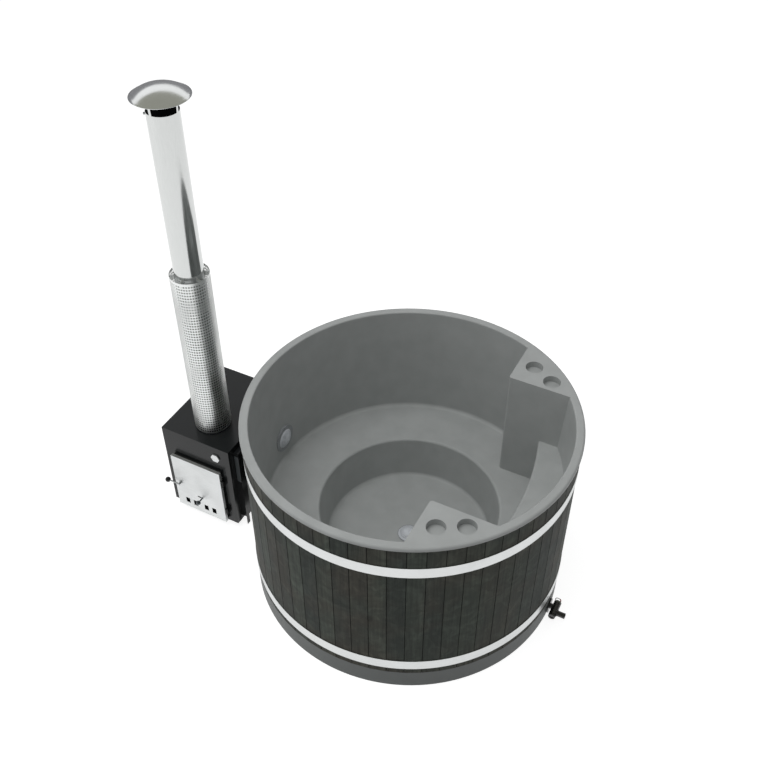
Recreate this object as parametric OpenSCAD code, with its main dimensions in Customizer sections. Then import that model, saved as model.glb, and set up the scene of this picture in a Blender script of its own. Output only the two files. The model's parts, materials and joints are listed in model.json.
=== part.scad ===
// Round hot tub: a moulded liner hooped with tongue-and-groove boards, and a
// wood-fired heater with a chimney beside it. Millimetres, +Z up. The origin is
// the middle of the tub's base, +X is the entry step, -X is the heater.

/* [Liner] */
// Outer radius of the rim
rim_r = 800; // [780:5:860]
// Height of the rim above the ground
tub_h = 1036; // [960:4:1120]
// Width of the flat rim
rim_w = 43; // [40:1:60]
// Depth of the rim's outer lip
rim_lip = 16; // [12:1:30]
// Rounding of the rim's outer edge
rim_round = 12; // [4:1:12]
// Rounding of the rim's inner edge
rim_in_round = 7; // [3:1:10]
// Thickness of the moulded shell
liner_t = 6; // [4:0.5:7]
// How far the wall closes in from the rim to the bench
wall_draft = 27; // [15:1:40]
// Height of the bench
bench_z = 400; // [360:5:440]
// Radius of the bench's inner edge
well_r = 456; // [420:2:480]
// Radius of the foot well's floor
well_floor_r = 424; // [400:2:440]
// Height of the foot well's floor
floor_z = 160; // [150:2:200]
// Rounding of the bench's inner edge
bench_round = 14; // [9:1:20]
// Rounding where the bench meets the wall
cove_r = 22; // [10:1:30]

/* [Consoles and step] */
// Distance of the consoles' front faces from the middle of the tub
console_x = 308; // [280:2:330]
// Distance of the consoles' side faces from the middle of the tub
console_y = 441; // [420:2:450]
// Rounding of the consoles' upright corner
console_round = 12; // [8:1:20]
// Distance of the first cup recess from the console's front face
cup_x1 = 83; // [80:1:90]
// Distance of the first cup recess from the console's side face
cup_y1 = 124; // [118:1:130]
// Distance of the second cup recess from the console's front face
cup_x2 = 196; // [190:1:202]
// Distance of the second cup recess from the console's side face
cup_y2 = 62; // [58:1:66]
// Radius of a cup recess
cup_r = 43; // [38:0.5:45]
// Depth of a cup recess
cup_depth = 34; // [20:1:60]
// Wall of a cup recess
cup_wall = 3; // [2:0.5:4]
// Height of the entry step
step_z = 688; // [600:4:760]
// Distance of the step's front face from the middle of the tub
step_x = 563; // [540:2:600]
// Radius of the curve of the step's front face
step_curve_r = 1517; // [1200:10:2000]
// Rounding of the step's front edge
step_round = 12; // [8:1:20]

/* [Cladding] */
// Number of boards
board_n = 60; // [60:6:72]
// Angle of the first seam
board_start = 0.9; // [0:0.1:6]
// Thickness of the boards
board_t = 27; // [22:1:28]
// How far the boards stand back from the rim's edge
board_back = 8.7; // [6:0.1:14]
// Chamfer along the boards' outer edges
board_chamfer = 2.4; // [1:0.2:4]
// Gap between two boards
board_gap = 0.4; // [0.2:0.1:1]
// Thickness of the tongues
tongue_t = 8; // [6:0.5:9]
// Length of the tongues
tongue_l = 7; // [5:0.5:9]
// Height of the wall insulation above the bench
foam_h = 460; // [300:10:540]

/* [Bands] */
// Height of a band
band_h = 60.5; // [40:0.5:80]
// Thickness of a band
band_t = 1.8; // [1:0.1:3]
// Top of the upper band
band_top_z = 902; // [800:2:940]
// Top of the lower band
band_low_z = 209; // [180:1:300]
// Angle of the bands' joint
band_joint_a = 116; // [100:1:150]
// Width of the gap at the bands' joint
band_joint_w = 24; // [16:1:40]
// Length of a band's lugs
lug_l = 26; // [20:1:40]
// Thickness of a band's lugs
lug_t = 4; // [3:0.5:6]
// Radius of the band bolts
bolt_r = 4; // [3:0.5:5]

/* [Base] */
// Height of the skirt
skirt_h = 112; // [106:1:130]
// Thickness of the base's floor and wall
base_t = 8; // [5:0.5:10]
// Width of the ledge under the boards
ledge_w = 32; // [30:1:45]
// Width of the joists
joist_w = 45; // [30:1:60]
// Distance of the inner joists from the middle
joist_y1 = 150; // [130:5:180]
// Distance of the outer joists from the middle
joist_y2 = 400; // [370:5:420]
// Thickness of the plywood ring under the bench
ring_t = 18; // [12:1:24]
// Width of the posts
post_w = 70; // [50:2:80]

/* [Water fittings] */
// Height of the hot return
return_z = 530; // [500:5:580]
// Outer radius of the return pipe
return_r = 25; // [18:0.5:28]
// Radius of the return's flange
flange_r = 75; // [60:1:85]
// Thickness of the return's flange
flange_t = 8; // [6:0.5:12]
// Radius of the strainers
strainer_r = 53; // [44:1:58]
// Height of the strainers' domes
strainer_h = 20; // [12:1:28]
// Wall of the strainers
strainer_t = 3; // [2:0.5:4]
// Radius of a strainer's holes
strainer_hole_r = 2.6; // [1.5:0.1:3]
// Outer radius of the drain sump
sump_r = 45; // [36:1:50]
// Height of the sump's bottom
sump_z = 18; // [10:1:20]
// Height of the drain pipe
drain_z = 44; // [41:1:50]
// Outer radius of the drain pipe
drain_r = 16; // [14:0.5:18]
// Height of the cold supply pipe
supply_z = 70; // [66:1:76]
// Outer radius of the supply pipe
supply_r = 21; // [16:0.5:24]
// Wall of every pipe
pipe_t = 2.2; // [1.5:0.1:3]
// Wall of the two hoses
hose_t = 4; // [3:0.5:5]
// How far the hoses are pushed over the pipes
hose_overlap = 20; // [18:1:24]
// Width of a hose clamp
clamp_w = 10; // [8:0.5:12]
// Thickness of a hose clamp
clamp_t = 1.2; // [0.8:0.1:2]

/* [Drain valve] */
// Radius of the valve's wall flange
valve_flange_r = 38; // [32:1:40]
// Radius of the valve's cross body
valve_r = 19; // [17:0.5:22]
// Length of the valve's cross body
valve_l = 72; // [60:1:90]
// Distance of the cross body from the skirt
valve_out = 37; // [35:1:50]
// Radius of the plug
plug_r = 13; // [11:0.5:14]
// Outer radius of the spout
spout_r = 14.5; // [12:0.5:16]
// Length of the spout from the middle of the cross body
spout_l = 60; // [45:1:80]
// How far the cross body's middle is set off sideways from the flange
valve_side = 13; // [4:1:18]
// How far the spout is set off sideways from the flange
spout_side = 27; // [20:1:30]
// Radius of the water way
water_r = 9.5; // [6:0.5:10]
// Length of the turning end knob and of the fixed end cap
knob_l = 12; // [8:1:16]
// Radius of the wire bail
bail_r = 14; // [12:0.5:16]
// Height of the bail's middle above the knob
bail_up = 10; // [8:0.5:11]
// Radius of the bail's wire
wire_r = 1.8; // [1.2:0.1:2.5]
// Thickness of the sleeve on the bail
sleeve_t = 1; // [0.5:0.1:1.5]

/* [Heater] */
// Width of the heater
heater_w = 416; // [400:2:460]
// Depth of the heater
heater_d = 550; // [500:5:620]
// Height of the heater's body
heater_h = 548; // [500:4:600]
// Height of the heater's feet
foot_h = 40; // [36:1:60]
// Gap between the tub's rim and the heater
heater_gap = 96; // [90:1:120]
// Thickness of the heater's sheet
sheet_t = 3; // [2:0.5:4]
// Thickness of the firebox
firebox_t = 5; // [4:0.5:8]
// Depth of the heat shield on the tub's side
shield_d = 27; // [20:1:34]
// How far the shield stands back from the front
shield_back = 46; // [30:2:70]
// Height of the cover plate on the shield's front
cover_h = 185; // [150:5:200]
// Distance of the cover plate from the shield's top
cover_down = 25; // [5:1:40]
// Across flats of the hex plug
hex_af = 46; // [40:1:60]
// Length of the hex plug's head
hex_l = 7; // [5:0.5:12]
// Distance of the hex plug from the heater's tub side
hex_in = 84; // [60:2:120]
// Distance of the hex plug below the heater's top
hex_down = 73; // [60:1:90]

/* [Heater door] */
// Width of the door
door_w = 309; // [300:1:312]
// Height of the door
door_h = 377; // [360:1:390]
// Distance of the door's left edge from the heater's left side
door_left = 50; // [44:1:54]
// Height of the door's bottom edge above the heater's bottom
door_up = 10; // [6:1:20]
// Thickness of the boxed door
door_t = 17; // [16:1:22]
// Gap between the door and the heater
door_gap = 12; // [8:0.5:14]
// Thickness of the door's sheet
door_sheet = 2; // [1.5:0.5:3]
// Border of the door around the fire opening
door_border = 20; // [16:1:24]
// Width of an air hole
air_w = 26; // [20:1:27]
// Height of an air hole
air_h = 38; // [30:1:44]
// Height of the air holes above the door's bottom edge
air_up = 54; // [48:1:60]
// Distance between two air holes
air_pitch = 51; // [50:0.5:54]
// Extra distance between the two middle air holes
air_split = 20; // [10:1:24]
// Travel of the damper slide
damper_travel = 25; // [15:1:26]
// Radius of the damper's ball knob
damper_ball_r = 12.5; // [8:0.5:13]
// Height of the damper's knob above the air holes
damper_up = 49; // [40:1:60]
// Length of the damper's stem in front of the door
damper_stem_l = 30; // [25:1:50]
// Radius of the latch's spindle
spindle_r = 6; // [4:0.5:7]
// Distance of the spindle from the door's left edge
spindle_in = 37; // [36:0.5:38]
// Height of the spindle above the door's bottom edge
spindle_up = 186; // [170:2:200]
// Length of the latch's arm
arm_l = 74; // [60:1:80]
// Radius of the latch's ball
arm_ball_r = 15; // [12:0.5:16]
// Radius of the hinge pins
pin_r = 3; // [2.5:0.25:3.5]
// Outer radius of the hinge knuckles
knuckle_r = 5.5; // [5:0.25:6]
// Length of one hinge knuckle
knuckle_l = 20; // [14:1:30]
// Distance of the hinges from the door's bottom and top edges
hinge_in = 60; // [40:2:100]

/* [Chimney] */
// Outer radius of the flue pipe
flue_r = 71; // [60:1:74]
// Thickness of the flue's sheet
flue_t = 1.2; // [0.8:0.1:2]
// Outer radius of the heat guard
guard_r = 94.5; // [90:0.5:105]
// Length of the heat guard
guard_h = 950; // [700:10:1000]
// Height of the heat guard above the heater's top
guard_up = 8; // [7:1:20]
// How far the upper flue pipe starts above the heat guard
joint_up = 20; // [10:1:40]
// Length of the slip joint
slip_l = 60; // [40:2:80]
// Length of the upper flue pipe
upper_l = 785; // [600:5:900]
// Radius of the rain cap
cap_r = 128; // [110:1:150]
// Height of the rain cap's dome
cap_h = 46; // [30:1:60]
// Gap between the flue's top and the cap's rim
cap_gap = 60; // [50:1:90]
// Thickness of the cap
cap_t = 1.5; // [1:0.1:3]
// Width of the straps under the cap
strap_w = 13; // [8:1:24]
// How far the straps lean out on their way up to the cap
strap_lean = 7; // [0:0.5:10]
// Radius of the head of the screw that locks the cap in the flue
lock_r = 6; // [4:0.5:8]
// Distance of the locking screw from the flue's top
lock_down = 18; // [12:1:26]
// Angle of the locking screw round the flue
lock_a = 207; // [200:1:250]
// Width of the heat guard's spacer tabs
tab_w = 8; // [6:1:20]
// Height of the heat guard's spacer tabs
tab_h = 24; // [16:1:40]
// Angle of the first spacer tab
tab_a = 40; // [0:1:59]
// Distance of the chimney's axis from the heater's front
flue_back = 157; // [140:1:180]
// Distance of the chimney's axis from the heater's tub side
flue_side = 196; // [150:1:220]

/* [Hidden] */
$fn = 96;
fine = 480;                  // facets of the big curves that small pieces seat on

slack = 0.3;                 // gap between curved faces that don't seat
run = 0.05;                  // radial clearance of a running fit
eps = 1;                     // overlap of a cutting solid
pipe_room = 2;               // gap round the return pipe where it passes the boards

rim_in = rim_r - rim_w;
lip_z = tub_h - rim_lip;
board_ro = rim_r - board_back;
board_ri = board_ro - board_t;
board_half = 180 / board_n;
board_top = lip_z - slack;
band_ri = board_ro / cos(board_half) + slack;

joist_top = floor_z - liner_t;
ring_top = bench_z - liner_t;
ring_ri = well_r + liner_t + 12;
ring_ro = rim_in - wall_draft - cove_r - liner_t - 6;
skirt_ri = board_ro - base_t;

heater_x2 = -rim_r - heater_gap;
heater_x1 = heater_x2 - heater_w;
heater_y1 = -heater_d / 2;
heater_z2 = foot_h + heater_h;

door_x1 = heater_x1 + door_left;
door_x2 = door_x1 + door_w;
door_z1 = foot_h + door_up;
door_z2 = door_z1 + door_h;
door_y2 = heater_y1 - door_gap;
door_y1 = door_y2 - door_t;
mouth_x1 = door_x1 + door_border;
mouth_x2 = door_x2 - door_border;
mouth_z1 = door_z1 + door_border;
mouth_z2 = door_z2 - door_border;
air_z = door_z1 + air_up;
air_mid = door_x1 + door_w / 2 - 4;
air_x = [for (d = [-1.5, -0.5, 0.5, 1.5]) air_mid + d * air_pitch + sign(d) * air_split / 2];
knob_x = air_mid + damper_travel / 2 + 5;
knob_z = air_z + air_h / 2 + damper_up;
spindle_x = door_x1 + spindle_in;
spindle_z = door_z1 + spindle_up;
arm_y = door_y1 - arm_ball_r - 2;
tongue_y = heater_y1 + 15;
hinge_x = door_x2 + knuckle_r + 0.5;
hinge_y = door_y1 + door_t / 2 + 3;
hinge_z = [door_z1 + hinge_in, door_z2 - hinge_in - 2 * knuckle_l];

flue_x = heater_x2 - flue_side;
flue_y = heater_y1 + flue_back;
guard_z = heater_z2 + guard_up;
joint_z = guard_z + guard_h + joint_up;
flue_foot = mouth_z2 + 40;   // ledge in the firebox's uptake
flue_top = joint_z + upper_l;
cap_z = flue_top + cap_gap;
lower_r = flue_r - flue_t - 2 * run;

valve_x = board_ro + valve_out;
hose_x1 = heater_x2 + 34;
hose_x2 = -rim_r - 6;

// Points of an arc that rounds corner b of the path a, b, c.
function unit(v) = v / norm(v);
function wrap(a) = a > 180 ? a - 360 : (a < -180 ? a + 360 : a);
function corner(a, b, c, r, n = 6) =
    r <= 0 ? [b] :
    let (u = unit(a - b), v = unit(c - b), half = acos(u * v) / 2,
         o = b + unit(u + v) * r / sin(half),
         s = b + u * r / tan(half) - o, e = b + v * r / tan(half) - o,
         from = atan2(s.y, s.x), turn = wrap(atan2(e.y, e.x) - from))
    [for (i = [0:n]) o + r * [cos(from + turn * i / n), sin(from + turn * i / n)]];
function rounded(p, r) = [for (i = [0:len(p) - 1])
    each corner(p[(i + len(p) - 1) % len(p)], p[i], p[(i + 1) % len(p)], r[i])];
// Radius of the tub wall's inner face and of its outer face.
function wall_r(z) = rim_in - wall_draft * (tub_h - z) / (tub_h - bench_z);
function skin_r(z) = wall_r(z) + liner_t;

module along_x(x, y, z) { translate([x, y, z]) rotate([0, 90, 0]) children(); }
module along_y(x, y, z) { translate([x, y, z]) rotate([-90, 0, 0]) children(); }
module mirror_y() { children(); mirror([0, 1, 0]) children(); }
module tube(ro, ri, h) {
    difference() {
        cylinder(r = ro, h = h);
        translate([0, 0, -eps]) cylinder(r = ri, h = h + 2 * eps);
    }
}
module box(a, b) { translate(a) cube(b - a); }

// ---------------------------------------------------------------- liner

// Outside of the moulded shell as one turned body.
module shell_body() {
    rotate_extrude() polygon(rounded(
        [[0, floor_z - liner_t], [well_floor_r + liner_t, floor_z - liner_t],
         [well_r + liner_t, bench_z - liner_t],
         [skin_r(bench_z - liner_t), bench_z - liner_t],
         [skin_r(lip_z), lip_z], [rim_r, lip_z], [rim_r, tub_h], [0, tub_h]],
        [0, 20 + liner_t, bench_round - liner_t, cove_r + liner_t, 0, 0, rim_round, 0]));
}
// Turned water space, with the rounded mouth at the rim.
module basin_space() {
    rotate_extrude() polygon(rounded(
        [[0, floor_z], [well_floor_r, floor_z], [well_r, bench_z], [wall_r(bench_z), bench_z],
         [rim_in, tub_h], [rim_r + eps, tub_h], [rim_r + eps, tub_h + 9], [0, tub_h + 9]],
        [0, 20, bench_round, cove_r, rim_in_round, 0, 0, 0]));
}
// Quarter blocks of the two consoles, drawn in by t behind their faces.
module consoles(t, z1, z2) {
    far = rim_r + 40;
    mirror_y() translate([0, 0, z1]) linear_extrude(z2 - z1) polygon(rounded(
        [[console_x + t, console_y + t], [far, console_y + t], [far, far], [console_x + t, far]],
        [console_round - t, 0, 0, 0]));
}
// Raised step between the consoles, with a shallow curved face, drawn in by t.
module step_block(t, side) {
    far = step_curve_r + rim_r;
    intersection() {
        translate([step_x - step_curve_r, 0, 0]) rotate_extrude() polygon(rounded(
            [[step_curve_r + t, bench_z - liner_t - eps], [far, bench_z - liner_t - eps],
             [far, step_z - t], [step_curve_r + t, step_z - t]],
            [0, 0, 0, step_round - t]));
        box([0, -side, 0], [rim_r + eps, side, tub_h]);
    }
}
// Cup recesses, two in each console.
cup_spots = [[console_x + cup_x1, console_y + cup_y1], [console_x + cup_x2, console_y + cup_y2]];
module cups(r, z1, z2) {
    mirror_y() for (p = cup_spots) translate([p.x, p.y, z1]) cylinder(r = r, h = z2 - z1);
}
// Everything hollow behind the consoles and the step.
module shell_back() {
    intersection() {
        union() {
            consoles(liner_t, bench_z - liner_t - eps, tub_h - liner_t);
            step_block(liner_t, console_y + liner_t + eps);
        }
        cylinder(r = rim_in + liner_t, h = tub_h);
    }
}
module tub_liner() {
    color("#8f9392") difference() {
        union() {
            difference() {
                shell_body();
                shell_back();
            }
            cups(cup_r + cup_wall, tub_h - cup_depth - cup_wall, tub_h);
        }
        difference() {
            basin_space();
            consoles(0, 0, tub_h + 20);
            step_block(0, console_y + eps);
        }
        cups(cup_r, tub_h - cup_depth, tub_h + eps);
        translate([0, 0, floor_z - 20]) cylinder(r = sump_r + slack, h = 40);
        along_x(-rim_in - eps, 0, return_z) cylinder(r = return_r + slack, h = rim_w + 20);
    }
}

// ---------------------------------------------------------------- base

module base_pan() {
    color("#5c5f60") difference() {
        rotate_extrude() polygon(
            [[0, 0], [board_ro - 3, 0], [board_ro, 3], [board_ro, skirt_h],
             [board_ro - ledge_w, skirt_h], [board_ro - ledge_w, skirt_h - base_t],
             [skirt_ri, skirt_h - base_t], [skirt_ri, base_t], [0, base_t]]);
        along_x(0, 0, drain_z) cylinder(r = drain_r - pipe_t + slack, h = rim_r);
        along_x(-rim_r, 0, supply_z) cylinder(r = supply_r + slack, h = rim_r);
    }
}
module joist(y) {
    half = sqrt(pow(board_ro - ledge_w - 3, 2) - pow(y + joist_w / 2, 2));
    mirror_y() box([-half, y - joist_w / 2, base_t], [half, y + joist_w / 2, joist_top]);
}
module base_joists() {
    color("#b58f5f") { joist(joist_y1); joist(joist_y2); }
}
// Radius at which the posts stand, halfway across the plywood ring.
post_at = (ring_ri + ring_ro) / 2;
module bench_posts() {
    color("#c09a68") mirror_y() for (s = [-1, 1], y = [joist_y1, joist_y2])
        translate([s * sqrt(pow(post_at, 2) - y * y), y, (joist_top + ring_top - ring_t) / 2])
            cube([post_w, joist_w, ring_top - ring_t - joist_top], center = true);
}
module bench_ring() {
    color("#c8a878") translate([0, 0, ring_top - ring_t]) tube(ring_ro, ring_ri, ring_t);
}
module wall_insulation() {
    z2 = bench_z + foam_h;
    grow = liner_t + slack;
    color("#d9c98a") difference() {
        rotate_extrude() polygon(
            [[wall_r(bench_z) + grow, joist_top], [board_ri - slack, joist_top],
             [board_ri - slack, z2], [wall_r(z2) + grow, z2], [wall_r(bench_z) + grow, bench_z]]);
        along_x(-rim_r, 0, return_z) cylinder(r = return_r + 17, h = rim_r / 8);
    }
}

// ---------------------------------------------------------------- cladding

// Section of one board: a groove on its low side, a tongue on its high side.
function seam(s, side) = s * [cos(board_half), side * sin(board_half)];
function inward(side) = [sin(board_half), -side * cos(board_half)];
function board_section() =
    let (so = board_ro / cos(board_half), si = board_ri / cos(board_half),
         mid = (so + si) / 2, g = board_gap / 2, half_w = board_ro * tan(board_half),
         lo = inward(-1), hi = inward(1), d = tongue_t / 2)
    [seam(si, -1) + g * lo,
     seam(mid - d - g, -1) + g * lo, seam(mid - d - g, -1) + (tongue_l + 1) * lo,
     seam(mid + d + g, -1) + (tongue_l + 1) * lo, seam(mid + d + g, -1) + g * lo,
     seam(so - board_chamfer, -1) + g * lo, [board_ro, board_chamfer - half_w],
     [board_ro, half_w - board_chamfer], seam(so - board_chamfer, 1) + g * hi,
     seam(mid + d, 1) + g * hi, seam(mid + d, 1) - tongue_l * hi,
     seam(mid - d, 1) - tongue_l * hi, seam(mid - d, 1) + g * hi,
     seam(si, 1) + g * hi];
// First and last of the boards that the return pipe passes, counted from the first seam.
pipe_turn = asin((return_r + pipe_room) / board_ri);
pipe_boards = [for (s = [-1, 1]) floor((180 + s * pipe_turn - board_start) / (2 * board_half))];
module cladding(first, last) {
    color("#3b3e3a") difference() {
        for (i = [first:last])
            rotate(board_start + board_half * (2 * i + 1)) translate([0, 0, skirt_h])
                linear_extrude(board_top - skirt_h) polygon(board_section());
        if (first == pipe_boards[0])
            along_x(-rim_r, 0, return_z) cylinder(r = return_r + pipe_room, h = rim_w + board_t);
    }
}

// ---------------------------------------------------------------- bands

bolt_in = lug_l / 2 + 2;
lug_out = band_joint_w / 2 + lug_t;
module band(top) {
    color("#d8d9da") difference() {
        translate([0, 0, top - band_h]) rotate(band_joint_a) difference() {
            union() {
                cylinder(r = band_ri + band_t, h = band_h);
                box([rim_in, -lug_out, 0], [band_ri + band_t / 2 + lug_l, lug_out, band_h]);
            }
            translate([0, 0, -eps]) cylinder(r = band_ri, h = band_h + 2 * eps);
            box([rim_in, -band_joint_w / 2, -eps], [rim_r * 1.2, band_joint_w / 2, band_h + eps]);
        }
        at_bolts(top) cylinder(r = bolt_r + slack, h = band_joint_w + 4 * lug_t, center = true);
    }
}
// Places of the two bolts of a band, their axes along the band.
module at_bolts(top) {
    for (s = [-1, 1]) translate([0, 0, top - band_h / 2 + s * band_h / 4])
        rotate(band_joint_a) translate([band_ri + bolt_in, 0, 0]) rotate([90, 0, 0]) children();
}
module band_bolts() {
    color("#b8babb") for (top = [band_top_z, band_low_z]) at_bolts(top) {
        translate([0, 0, -lug_out - 3 * bolt_r])
            cylinder(r = bolt_r, h = 2 * lug_out + 3 * bolt_r);
        translate([0, 0, lug_out]) cylinder(r = bolt_r * 1.85, h = bolt_r * 1.3, $fn = 6);
    }
}
module band_nuts() {
    color("#b8babb") for (top = [band_top_z, band_low_z]) at_bolts(top)
        translate([0, 0, -lug_out - bolt_r * 1.6]) difference() {
            cylinder(r = bolt_r * 1.85, h = bolt_r * 1.6, $fn = 6);
            translate([0, 0, -eps]) cylinder(r = bolt_r + run, h = bolt_r * 1.6 + 2 * eps);
        }
}

// ---------------------------------------------------------------- water fittings

return_in = wall_r(return_z);          // wall's inner face at the return
return_skin = return_in + liner_t;     // wall's outer face at the return
// All that lies outside the wall's inner face, grown by t.
module wall_side(t) {
    z1 = return_z - 1.5 * flange_r;
    z2 = return_z + 1.5 * flange_r;
    rotate_extrude($fn = fine)
        polygon([[wall_r(z1) + t, z1], [rim_r + 50, z1], [rim_r + 50, z2], [wall_r(z2) + t, z2]]);
}
sleeve_end = hose_x2 - hose_overlap;
module return_flange() {
    color("#7f8488") {
        difference() {
            union() {
                difference() {
                    along_x(-return_in - 10, 0, return_z) cylinder(r = flange_r, h = flange_t + 10);
                    wall_side(0);
                }
                along_x(sleeve_end, 0, return_z)
                    cylinder(r = return_r, h = flange_t - return_in - sleeve_end);
            }
            along_x(sleeve_end - eps, 0, return_z)
                cylinder(r = return_r - pipe_t, h = flange_t - return_in - sleeve_end + 2 * eps);
        }
    }
}
module return_gasket() {
    color("#2a2a2a") difference() {
        along_x(-return_skin - 4, 0, return_z) tube(return_r + 14, return_r + slack, 12);
        difference() {
            cylinder(r = rim_r * 2, h = tub_h, $fn = fine);
            wall_side(liner_t);
        }
    }
}
module return_nut() {
    color("#6d7175") along_x(-return_skin - 4 - 9, 0, return_z) difference() {
        cylinder(r = return_r + 14, h = 9, $fn = 8);
        translate([0, 0, -eps]) cylinder(r = return_r + run, h = 9 + 2 * eps);
    }
}
// Domed strainer on its flange, its axis along +Z from z = 0.
module strainer() {
    ball = (strainer_r * strainer_r + strainer_h * strainer_h) / (2 * strainer_h);
    color("#aeb9c2") difference() {
        intersection() {
            translate([0, 0, strainer_h - ball]) sphere(r = ball);
            cylinder(r = strainer_r, h = strainer_h + eps);
        }
        difference() {
            translate([0, 0, strainer_h - ball]) sphere(r = ball - strainer_t);
            translate([0, 0, -2 * ball]) cylinder(r = ball, h = 2 * ball - eps);
        }
        for (ring = [0:3]) for (k = [0:max(0, 6 * ring - 1)])
            rotate(k * 60 / max(1, ring) + 15 * ring) translate([ring * (strainer_r - 8) / 3.6, 0, -eps])
                cylinder(r = strainer_hole_r, h = strainer_h + 2 * eps);
    }
}
module return_strainer() {
    along_x(flange_t - return_in, 0, return_z) strainer();
}
module drain_sump() {
    color("#7f8488") difference() {
        union() {
            translate([0, 0, sump_z]) cylinder(r = sump_r, h = floor_z - sump_z + 2);
            translate([0, 0, floor_z]) cylinder(r = strainer_r + 4, h = 3);
            along_x(0, 0, drain_z) cylinder(r = drain_r - pipe_t, h = sump_r + hose_overlap);
            along_x(-sump_r - hose_overlap, 0, supply_z)
                cylinder(r = supply_r - pipe_t, h = sump_r + hose_overlap);
        }
        translate([0, 0, sump_z + 4]) cylinder(r = sump_r - 4, h = floor_z);
        along_x(0, 0, drain_z) cylinder(r = drain_r - 2 * pipe_t, h = sump_r + hose_overlap + eps);
        along_x(-sump_r - hose_overlap - eps, 0, supply_z)
            cylinder(r = supply_r - 2 * pipe_t, h = sump_r + hose_overlap + eps);
    }
}
module sump_nut() {
    color("#6d7175") translate([0, 0, joist_top - 12]) difference() {
        cylinder(r = sump_r + 16, h = 12, $fn = 12);
        translate([0, 0, -eps]) cylinder(r = sump_r + run, h = 12 + 2 * eps);
    }
}
module drain_strainer() {
    translate([0, 0, floor_z + 3]) strainer();
}
module drain_pipe() {
    x1 = sump_r + 3;
    color("#4a4d50") along_x(x1, 0, drain_z) tube(drain_r, drain_r - pipe_t + run, skirt_ri - 3 - x1);
}
supply_end = hose_x2 - hose_overlap;
module supply_pipe() {
    color("#4a4d50") along_x(supply_end, 0, supply_z)
        tube(supply_r, supply_r - pipe_t + run, -sump_r - 3 - supply_end);
}
module hose(r, z) {
    color("#303234") along_x(hose_x1, 0, z) tube(r + hose_t, r + run, hose_x2 - hose_x1);
}
module return_hose() { hose(return_r, return_z); }
module supply_hose() { hose(supply_r, supply_z); }
module clamp(r, x, z) {
    along_x(x, 0, z) difference() {
        union() {
            cylinder(r = r + clamp_t, h = clamp_w);
            translate([-r - clamp_w / 2, -0.7 * clamp_w, 0]) cube([0.6 * clamp_w, 1.4 * clamp_w, clamp_w]);
        }
        translate([0, 0, -eps]) cylinder(r = r + run, h = clamp_w + 2 * eps);
    }
}
module hose_clamps() {
    color("#c4c7c9") for (q = [[return_r, return_z], [supply_r, supply_z]],
                          x = [hose_x1 + 3, hose_x2 - clamp_w - 3])
        clamp(q[0] + hose_t, x, q[1]);
}

// ---------------------------------------------------------------- drain valve

tail_r = drain_r - pipe_t;
valve_seat = valve_x - valve_r - 2;       // neck's outer end
collar_x = valve_x + valve_r + 3;         // end of the collar at the spout's root
barrel_y1 = -valve_side - valve_l / 2;
barrel_y2 = barrel_y1 + valve_l;
module valve_flange() {
    color("#1c1d1f") difference() {
        union() {
            difference() {
                along_x(board_ro - 10, 0, drain_z) cylinder(r = valve_flange_r, h = 19);
                translate([0, 0, -eps]) cylinder(r = board_ro, h = skirt_h, $fn = fine);
            }
            along_x(skirt_ri - 3 - hose_overlap, 0, drain_z)
                cylinder(r = tail_r, h = valve_seat - skirt_ri + 3 + hose_overlap);
        }
        along_x(skirt_ri - 4 - hose_overlap, 0, drain_z)
            cylinder(r = water_r, h = valve_x - skirt_ri + hose_overlap);
    }
}
module valve_body() {
    color("#1c1d1f") difference() {
        union() {
            along_y(valve_x, barrel_y1, drain_z) cylinder(r = valve_r, h = valve_l);
            along_x(valve_seat, 0, drain_z) cylinder(r = spout_r + 1, h = valve_x - valve_seat);
            along_x(valve_x, -spout_side, drain_z) cylinder(r = spout_r + 2, h = collar_x - valve_x);
            along_x(valve_x, -spout_side, drain_z) cylinder(r = spout_r, h = spout_l);
        }
        along_y(valve_x, barrel_y1 - eps, drain_z) cylinder(r = plug_r + run, h = valve_l + 2 * eps);
        along_x(valve_seat - eps, 0, drain_z) cylinder(r = water_r, h = valve_x - valve_seat + eps);
        along_x(valve_x, -spout_side, drain_z) cylinder(r = water_r, h = spout_l + eps);
    }
}
module valve_end_cap() {
    color("#26282a") along_y(valve_x, barrel_y1 - knob_l, drain_z) difference() {
        cylinder(r = valve_r - 1, h = knob_l, $fn = 8);
        translate([0, 0, -eps]) cylinder(r = valve_r / 2, h = eps + knob_l / 4);
    }
}
// Hollow plug: one port towards the tub, one towards the spout.
module valve_plug() {
    color("#3a3c3e") difference() {
        along_y(valve_x, barrel_y1 + 1, drain_z) cylinder(r = plug_r, h = valve_l - 1 + 0.5);
        along_y(valve_x, -spout_side - water_r, drain_z)
            cylinder(r = water_r - 1, h = spout_side + 2 * water_r);
        along_x(valve_x - valve_r, 0, drain_z) cylinder(r = water_r - 1, h = valve_r);
        along_x(valve_x, -spout_side, drain_z) cylinder(r = water_r - 1, h = valve_r);
    }
}
knob_y = barrel_y2 + 0.5;
module valve_knob() {
    color("#2e332c") along_y(valve_x, knob_y, drain_z) cylinder(r = valve_r, h = knob_l);
}
// Turned ring or part ring in the bail's plane, its section from outer down to inner radius.
module bail_ring(outer, inner, from, turn) {
    translate([valve_x, knob_y + knob_l / 2, drain_z + valve_r + bail_up]) rotate([90, 0, 0]) rotate(from)
        rotate_extrude(angle = turn) translate([bail_r, 0]) difference() {
            circle(r = outer, $fn = 24);
            if (inner > 0) circle(r = inner, $fn = 24);
        }
}
module valve_bail() {
    color("#c9b3b3") difference() {
        bail_ring(wire_r, 0, 0, 360);
        along_y(valve_x, knob_y - eps, drain_z) cylinder(r = valve_r, h = knob_l + 2 * eps);
    }
}
module bail_sleeve() {
    color("#b0392f") bail_ring(wire_r + sleeve_t, wire_r + run, -20, 75);
}

// ---------------------------------------------------------------- heater

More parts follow.
